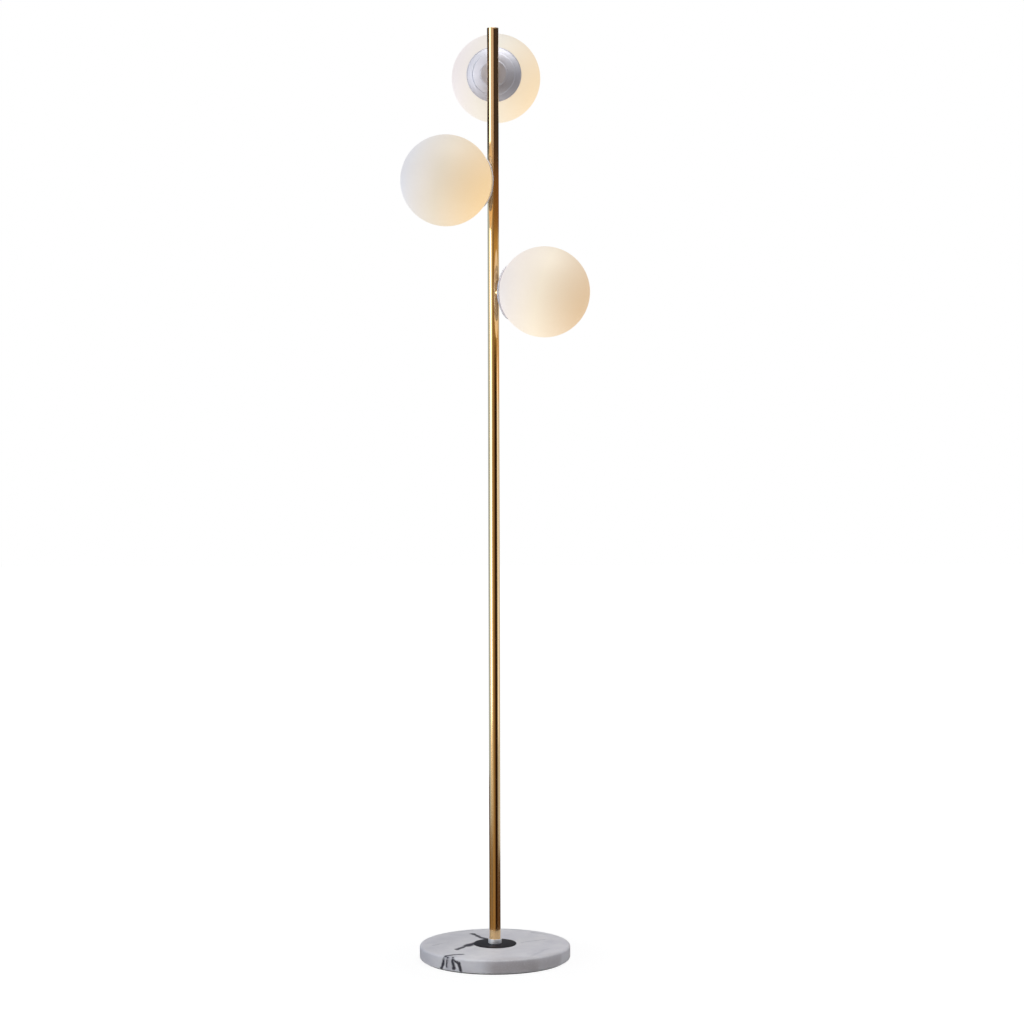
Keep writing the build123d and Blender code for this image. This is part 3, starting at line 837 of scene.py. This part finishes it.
def keep_round(mesh, radius):
    """Sets a tube's wall normals from its roundness, so that its reflections stay straight."""
    wall_depth = 0.01 * mm
    least_lean = 0.7
    normals = []
    for loop in mesh.loops:
        point = mesh.vertices[loop.vertex_index].co
        normal = mesh.corner_normals[loop.index].vector.copy()
        on_wall = abs(math.hypot(point.x, point.y) - radius) < wall_depth
        outward = Vector((point.x, point.y, 0)).normalized()
        normals.append(outward if on_wall and normal.dot(outward) > least_lean else normal)
    mesh.normals_split_custom_set(normals)


for tube_name in ("lower", "middle", "upper"):
    low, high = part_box(f"{tube_name}_tube")
    tube = turned(
        f"pole_{tube_name}",
        rounded([
            (tube_bore, low.z, 0), (tube_radius, low.z, tube_edge),
            (tube_radius, high.z, tube_edge), (tube_bore, high.z, 0),
        ], steps=3),
        around=tube_steps,
    )
    if tube_name == "upper":
        for head in heads:
            circle = arc(head.foot, head.arm.cross(up), up, drill_radius, 2 * math.pi, 48)[:-1]
            cut_away(tube, extruded("drill", circle, head.arm * 2 * tube_radius))
    keep_round(tube.data, tube_radius)
    settle(tube, "root", brass, "antique_brass", f"{tube_name}_tube")

cap_low, cap_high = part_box("pole_cap")
cap_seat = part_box("upper_tube")[1].z
cap_edge = 0.5 * mm
plug_edge = 0.4 * mm
cap = turned(
    "pole_top_cap",
    rounded([
        (0, cap_low.z, 0), (insert_radius, cap_low.z, plug_edge),
        (insert_radius, cap_seat, 0), (tube_radius, cap_seat, tube_edge),
        (tube_radius, cap_high.z, cap_edge), (0, cap_high.z, 0),
    ]),
    around=tube_steps,
)
settle(cap, "root", brass, "antique_brass", "pole_cap")


def each(stem):
    """The names of a node that every head has."""
    return [f"{stem}_{head.name}" for head in heads]


dress(brass, *each("stem_spacer"))

# ================================================================ inside the pole
# Turned brass pieces, brazed or screwed inside the tube: the foot insert, the joints between
# the tubes and the blocks that hold the stems. Bare turned brass is bright yellow.

dress(
    grained("bare_turned_brass", "#C9A45C", "#D9BA78", 0.32, 3.0, 0.03, metal),
    "foot_insert", "arm_inserts",
    "lower_seam_socket", "lower_seam_plug", "upper_seam_socket", "upper_seam_plug",
)

# ================================================================ wiring
# Silicone insulated leads run up the pole to the sockets from two closed-end crimp caps of
# natural nylon. Extruded silicone is matt and slightly waxy.

dress(grained("white_silicone_insulation", "#D8D4CC", "#E6E2DA", 0.5, 1.0, 0.03), *each("lead"))
dress(
    grained("natural_nylon", "#DDD8C8", "#E8E4D6", 0.45, 1.5, 0.05, {"Subsurface Weight": 0.1}),
    "splice_caps",
)

# ================================================================ holder cups
# Each globe sits in a cup spun from one sheet of aluminium over a wooden form: a flat hub, a
# dome, a step ring, an outer band and a rolled rim. The spinning tool leaves fine rings.


def reach(node, head):
    """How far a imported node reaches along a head's arm, and its widest radius about it."""
    points = [vertex.co - head.foot for vertex in frame["nodes"][node].data.vertices]
    along = [point.dot(head.arm) for point in points]
    radii = [(point - head.arm * far).length for point, far in zip(points, along)]
    return min(along), max(along), max(radii)


def sphere_line(centre, radius, start, end, steps):
    """Points of a sphere's section between two angles from the back of its axis."""
    angles = [start + (end - start) * k / steps for k in range(steps + 1)]
    return [Vector((radius * math.sin(a), centre - radius * math.cos(a))) for a in angles]


cup_wall = 1.2 * mm
cup_gap = 1.6 * mm
cup_step = 1.0 * mm
step_start = 34.5 * mm
step_end = 35.7 * mm
step_rounding = 0.35 * mm
hub_radius = 22.0 * mm
hub_bore = 5.8 * mm
hub_rounding = 1.4 * mm
dome_rounding = 0.8 * mm
bead_radius = 1.1 * mm
bead_steps = 24


def cup_section(head):
    """Section of the cup's sheet: its middle line, drawn out to both sides, with a bead."""
    globe_far, globe_radius = reach(f"glass_globe_{head.name}", head)[1:]
    centre = globe_far - globe_radius
    back, _, widest = reach(f"holder_cup_{head.name}", head)
    rim = widest - bead_radius
    band = globe_radius + cup_gap + cup_wall / 2
    dome = band + cup_step
    hub = back + cup_wall / 2
    shoulder = sphere_line(
        centre, dome, math.asin(hub_radius / dome), math.asin(step_start / dome), 20
    )
    edge = sphere_line(centre, band, math.asin(step_end / band), math.asin(rim / band), 20)
    line = rounded([
        (hub_bore, hub, 0), (hub_radius, hub, hub_rounding), (*shoulder[0], dome_rounding),
        *[(*point, 0) for point in shoulder[2:-1]],
        (*shoulder[-1], step_rounding), (*edge[0], step_rounding),
        *[(*point, 0) for point in edge[1:]],
    ])
    turn = math.asin(cup_wall / 2 / bead_radius)
    end = line[-1]
    line = [p for p in line if (p - end).length > bead_radius * math.cos(turn)]
    left, right = [], []
    for i, point in enumerate(line):
        run = (line[min(i + 1, len(line) - 1)] - line[max(i - 1, 0)]).normalized()
        side = Vector((-run.y, run.x)) * cup_wall / 2
        left.append(point + side)
        right.append(point - side)
    run = (end - line[-1]).normalized()
    side = Vector((-run.y, run.x))
    bead = []
    for k in range(bead_steps + 1):
        angle = (math.pi - turn) * (1 - 2 * k / bead_steps)
        bead.append(end + (run * math.cos(angle) + side * math.sin(angle)) * bead_radius)
    return left + bead + right[::-1]


map_reach = 0.1


def lay_turned_map(mesh, head):
    """UV map of a turned piece: U runs round the arm and V outwards from it, 1 to 100 mm."""
    sideways = head.arm.orthogonal().normalized()
    across = head.arm.cross(sideways)
    layer = mesh.uv_layers.new(name="turned")
    for face in mesh.polygons:
        points = [mesh.vertices[index].co - head.foot for index in face.vertices]
        turns = [math.atan2(p.dot(across), p.dot(sideways)) / (2 * math.pi) for p in points]
        for index, point, turn in zip(face.loop_indices, points, turns):
            off_axis = (point - head.arm * point.dot(head.arm)).length
            past_seam = max(turns) - turn > 0.5
            layer.data[index].uv = (turn + past_seam, off_axis / map_reach)


def spun_aluminium():
    """Spun, lacquered aluminium: rings 0.6 mm apart, drawn coarser than real to show."""
    material, tree, shader, place = start_finish("spun_aluminium")
    ring_gap = 0.6 * mm
    turned_map = add_node(tree, "ShaderNodeUVMap", uv_map="turned")
    apart = add_node(tree, "ShaderNodeSeparateXYZ", {0: turned_map.outputs[0]})
    rings = maths(tree, "MULTIPLY", apart.outputs["Y"], 2 * math.pi * map_reach / ring_gap)
    clouds = noise(tree, place, 0.08, 4)
    grain = add_node(tree, "ShaderNodeTangent", direction_type="UV_MAP", uv_map="turned")
    plug(shader, {
        "Base Color": mixed_colour(tree, clouds, hex_colour("#D2D2DC"), hex_colour("#E0E0E6")),
        "Roughness": mapped(tree, clouds, 0.52, 0.62),
        "Normal": relief(tree, maths(tree, "SINE", rings), 0.12, 0.03),
        "Tangent": grain.outputs[0],
        "Metallic": 0.55,
        "Anisotropic": 0.45,
    })
    return material


spun = spun_aluminium()
for head in heads:
    cup = turned(f"spun_cup_{head.name}", cup_section(head), head.foot, head.arm)
    lay_turned_map(cup.data, head)
    settle(cup, "root", spun, "spun_metal", f"holder_cup_{head.name}")

# ================================================================ globes
# Blown opal glass, 3 mm thick, with a neck turned inwards that screws on to the sleeve. The glass
# is milky all through and satin outside, and glows warm from the bulb; the glow holds painted
# light and shade, cooler towards the window, warmer away from it and brighter low down.

glass_wall = 3.0 * mm
neck_wall = 3.0 * mm
neck_length = 12.0 * mm
neck_fillet = 2.0 * mm
mouth_radius = 14.977 * mm
lip = 1.2 * mm
fillet_share = 0.9


def globe_section(head):
    """Section of the globe: outer sphere, mouth, turned-in neck and inner sphere."""
    mouth, far, radius = reach(f"glass_globe_{head.name}", head)
    centre = far - radius
    neck_end = mouth + neck_length
    neck = mouth_radius + neck_wall
    inner = radius - glass_wall
    start = math.asin((mouth_radius + lip) / radius)
    outside = sphere_line(centre, radius, math.pi, start, 72)
    outside[0].x = 0
    reached = math.asin((neck + neck_fillet) / inner)
    inside = sphere_line(centre, inner, reached, math.pi, 60)
    inside[-1].x = 0
    root = centre - math.sqrt(inner**2 - neck**2)
    corners = [
        (*outside[-1], 0), (mouth_radius, mouth, lip * fillet_share),
        (mouth_radius, neck_end, lip), (neck, neck_end, lip),
        (neck, root, neck_fillet * fillet_share), (*inside[0], 0),
    ]
    return outside[:-1] + rounded(corners) + inside[1:]


# Painted light and shade in each globe's glow: its tones from the cool, window-lit side over the
# middle to the warm side away from the window.
painted_glow_tones = {
    "low": ("#D8D1CE", "#E0D2BA", "#CFB087"),
    "middle": ("#C8C8CD", "#CDBFA8", "#E2C08A"),
    "top": ("#DCD4D4", "#D4CCBC", "#E6CDA6"),
}


def opal_glass(head):
    """Opal glass lit from inside: milk white, with painted light and shade in its glow, cooler on
    the window side, warmer away from it and brighter low down.
    """
    material, tree, shader, place = start_finish(f"opal_glass_{head.name}")
    _, far, radius = reach(f"glass_globe_{head.name}", head)
    centre = (head.foot + head.arm * (far - radius)) / mm
    # Painted light and shade: the glow's tone runs along this way, to the right and down, away
    # from the window.
    painted_warm_way = (0.93, -0.2, -0.25)
    glow_reach = 70.0
    about = add_node(
        tree, "ShaderNodeVectorMath", {0: place, 1: tuple(centre)}, operation="SUBTRACT"
    ).outputs[0]
    streaks = noise(tree, about, 0.02, 3)
    lean = add_node(
        tree, "ShaderNodeVectorMath", {0: about, 1: painted_warm_way}, operation="DOT_PRODUCT"
    )
    side = mapped(tree, lean.outputs["Value"], 0.0, 1.0, -60.0, glow_reach)
    glow = add_node(tree, "ShaderNodeValToRGB", {"Fac": side})
    stops = glow.color_ramp.elements
    stops.new(0.5)
    for stop, code in zip(stops, painted_glow_tones[head.name]):
        stop.color = hex_colour(code)
    apart = add_node(tree, "ShaderNodeSeparateXYZ", {0: about})
    # Painted light: the glow is stronger low down and weaker at the top.
    painted_low_glow = mapped(tree, apart.outputs["Z"], 1.15, 0.85, -glow_reach, glow_reach)
    painted_glow_colour = add_node(
        tree, "ShaderNodeVectorMath",
        {0: glow.outputs["Color"], "Scale": painted_low_glow}, operation="SCALE",
    )
    plug(shader, {
        "Base Color": mixed_colour(tree, streaks, hex_colour("#858381"), hex_colour("#8D8B88")),
        "Emission Color": painted_glow_colour.outputs[0],
        "Normal": relief(tree, streaks, 0.05, 0.2),
        "Emission Strength": 1.0,
        "Roughness": 0.6,
        "IOR": 1.5,
    })
    return material


for head in heads:
    globe = turned(
        f"opal_globe_{head.name}", globe_section(head), head.foot, head.arm, around=192
    )
    settle(
        globe, f"globe_{head.name}", opal_glass(head), "opal_glass", f"glass_globe_{head.name}"
    )

# ================================================================ sleeves and gaskets
# The flanged sleeve that each globe screws on to is enamelled steel, with a coarse rolled
# thread. A clear silicone ring on the flange cushions the glass.

enamel = grained("white_enamel", "#DCDCDA", "#E6E6E4", 0.28, 2.0, 0.04)
dress(enamel, *each("threaded_sleeve"))
dress(
    grained("clear_silicone", "#D2D2CC", "#DEDED8", 0.4, 1.5, 0.04, {"Subsurface Weight": 0.2}),
    *each("gasket"),
)
glass_pitch = 3.0 * mm
glass_ridge = 0.3 * mm
sleeve_radius = mouth_radius - 0.4 * mm
thread_end = 2 * mm

for head in heads:
    mouth = reach(f"glass_globe_{head.name}", head)[0]
    sleeve_end = reach(f"threaded_sleeve_{head.name}", head)[1]
    start = mouth + glass_pitch / 2
    screw_thread(
        f"sleeve_thread_{head.name}", sleeve_radius, glass_pitch, sleeve_end - start - thread_end,
        glass_ridge, head.foot + head.arm * start, head.arm, enamel, "root",
    )

# ================================================================ lampholders
# A U-shaped steel bracket on the stem holds a ceramic socket with two screws. The socket's
# spring strips grip the bulb's pins, and a washer and nut on the stem clamp the whole stack.

dress(
    zinc, "stem_nipples", "stem_washers", "stem_nuts", "socket_screws", *each("socket_bracket")
)
dress(grained("white_steatite", "#DAD7CE", "#E8E5DC", 0.6, 0.8, 0.05), *each("pin_socket"))
dress(
    grained("nickel_spring_strip", "#B5B0A4", "#C6C1B4", 0.3, 2.0, 0.02, metal),
    "socket_contacts",
)

# ================================================================ bulbs
# Pin-base bulbs: a white ceramic base, a frosted cover moulded over the light strips, and
# two flat plated pins.

dress(grained("bulb_ceramic", "#E0DFDB", "#ECEBE7", 0.5, 1.0, 0.03), *each("bulb_base"))
lit_cover = {
    "Subsurface Weight": 0.15, "Emission Color": hex_colour("#FFE2B0"), "Emission Strength": 0.8,
}
dress(
    grained("frosted_cover", "#EEEDE8", "#F6F5F0", 0.55, 0.6, 0.03, lit_cover),
    *each("bulb_cover"),
)
dress(zinc, *each("bulb_pins"))
